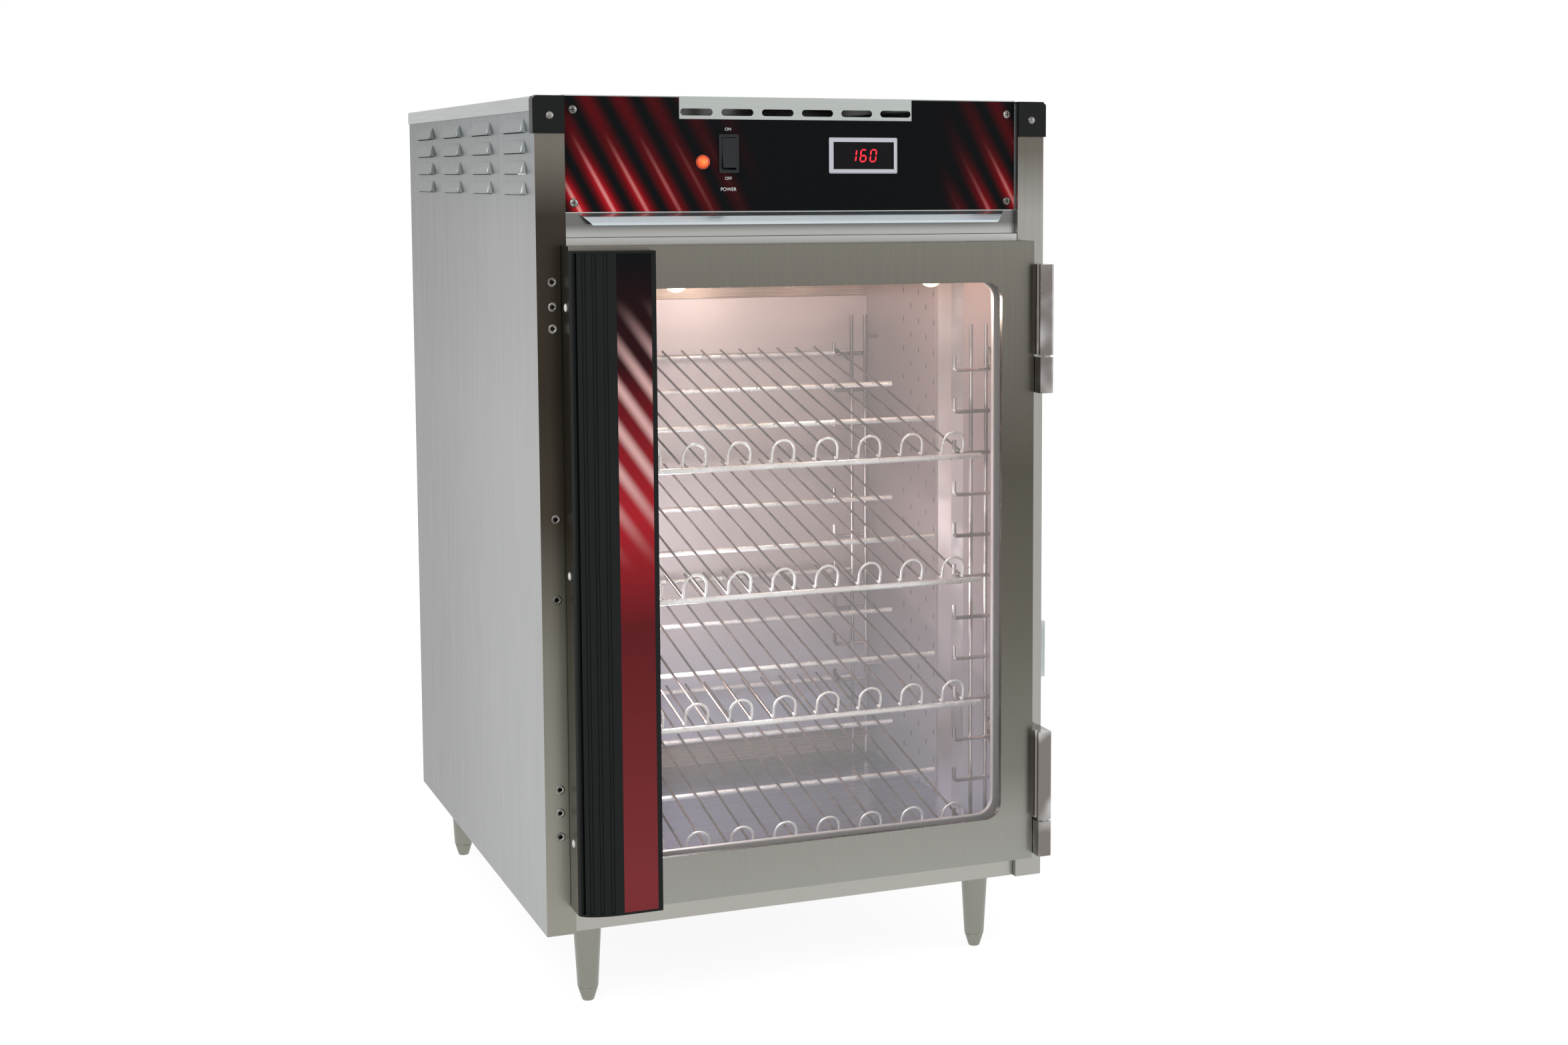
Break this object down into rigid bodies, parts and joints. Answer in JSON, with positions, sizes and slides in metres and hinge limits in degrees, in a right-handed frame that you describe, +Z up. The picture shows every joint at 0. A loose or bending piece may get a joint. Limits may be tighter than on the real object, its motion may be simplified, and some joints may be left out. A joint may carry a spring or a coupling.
{
  "type": "heated merchandising cabinet",
  "caption": "Heated counter cabinet with a glazed side-hinged door, sloped wire shelves, interior lamps, a control panel and screw feet.",
  "frame": {"origin": "centre of the overall box at the height of the counter, under the feet", "axes": "+X to the right seen from the front, +Y to the back, +Z up; the door faces -Y"},
  "size_m": [0.562, 0.708, 0.933],
  "materials": {
    "outer_steel": "brushed stainless steel, cool grey",
    "post_steel": "satin stainless steel seen in a warm shade",
    "header_steel": "satin stainless steel, light",
    "door_steel": "satin stainless steel seen in a warm shade",
    "inner_steel": "bright sheet steel in warm light",
    "floor_steel": "bright sheet steel",
    "chrome": "polished chrome plate",
    "wire_chrome": "polished chrome wire",
    "black_plastic": "satin black moulding",
    "panel_film": "black printed film",
    "insert_film": "printed strip, black to red",
    "pilot_orange": "clear orange lens",
    "display_dark": "smoked display window",
    "white_plastic": "white moulding",
    "glass": "clear toughened glass",
    "gasket": "dark silicone rubber",
    "leg_grey": "pale satin metal",
    "galvanised": "plain galvanised steel",
    "insulation": "mineral wool board",
    "ceramic": "white glazed lamp holder",
    "bulb": "frosted lamp glass"
  },
  "bodies": {
    "cabinet": {"left_side_panel": "outer_steel", "right_side_panel": "outer_steel", "back_panel": "outer_steel", "top_cover": "outer_steel", "base_pan": "galvanised", "bottom_rail": "post_steel", "post_inserts": "chrome", "back_screws": "galvanised", "corner_caps": "black_plastic", "cap_rivets": "chrome", "control_panel": "header_steel", "control_overlay": "panel_film", "panel_screws": "chrome", "pilot_lamp": "pilot_orange", "switch_frame": "black_plastic", "display_bezel": "header_steel", "display_window": "display_dark", "display_module": "black_plastic", "header_lip": "header_steel", "header_band": "header_steel", "door_jamb": "inner_steel", "hinge_frame_leaves": "chrome", "hinge_washers": "white_plastic", "side_cleat": "chrome", "legs": "leg_grey", "liner_left": "inner_steel", "liner_right": "inner_steel", "liner_floor": "floor_steel", "liner_ceiling": "inner_steel", "liner_back": "inner_steel", "duct_cover": "inner_steel", "heater_element": "galvanised", "blower_housing": "galvanised", "blower_motor": "black_plastic", "lamp_sockets": "ceramic", "lamp_bulbs": "bulb", "air_probe": "chrome", "wall_channels": "chrome", "side_insulation": "insulation", "wire_shelves": "wire_chrome", "rack_left": "wire_chrome", "rack_right": "wire_chrome", "rack_knobs": "chrome", "power_inlet": "black_plastic"},
    "door": {"door_frame": "door_steel", "door_inner_frame": "inner_steel", "door_glass": "glass", "glass_spacer": "galvanised", "door_gasket": "gasket", "handle": "black_plastic", "handle_caps": "black_plastic", "handle_insert": "insert_film", "handle_plugs": "white_plastic", "hinge_door_leaves": "chrome"},
    "rocker": {"switch_rocker": "black_plastic"},
    "fan": {"fan_wheel": "galvanised"},
    "front_left_foot": {"foot_front_left": "leg_grey"},
    "front_right_foot": {"foot_front_right": "leg_grey"},
    "back_left_foot": {"foot_back_left": "leg_grey"},
    "back_right_foot": {"foot_back_right": "leg_grey"}
  },
  "joints": [
    {"name": "door_hinge", "type": "hinge", "parent": "cabinet", "child": "door", "pos_m": [0.2585, -0.345, 0.4], "axis": [0, 0, 1], "range_deg": [0, 180]},
    {"name": "rocker_tilt", "type": "hinge", "parent": "cabinet", "child": "rocker", "pos_m": [-0.076, -0.3001, 0.876], "axis": [1, 0, 0], "range_deg": [0, 16]},
    {"name": "fan_spin", "type": "hinge", "parent": "cabinet", "child": "fan", "pos_m": [-0.001, 0.215, 0.745], "axis": [0, 1, 0], "continuous": true},
    {"name": "front_left_screw", "type": "slide", "parent": "cabinet", "child": "front_left_foot", "axis": [0, 0, -1], "range_m": [0, 0.019]},
    {"name": "front_right_screw", "type": "slide", "parent": "cabinet", "child": "front_right_foot", "axis": [0, 0, -1], "range_m": [0, 0.019]},
    {"name": "back_left_screw", "type": "slide", "parent": "cabinet", "child": "back_left_foot", "axis": [0, 0, -1], "range_m": [0, 0.019]},
    {"name": "back_right_screw", "type": "slide", "parent": "cabinet", "child": "back_right_foot", "axis": [0, 0, -1], "range_m": [0, 0.019]}
  ]
}
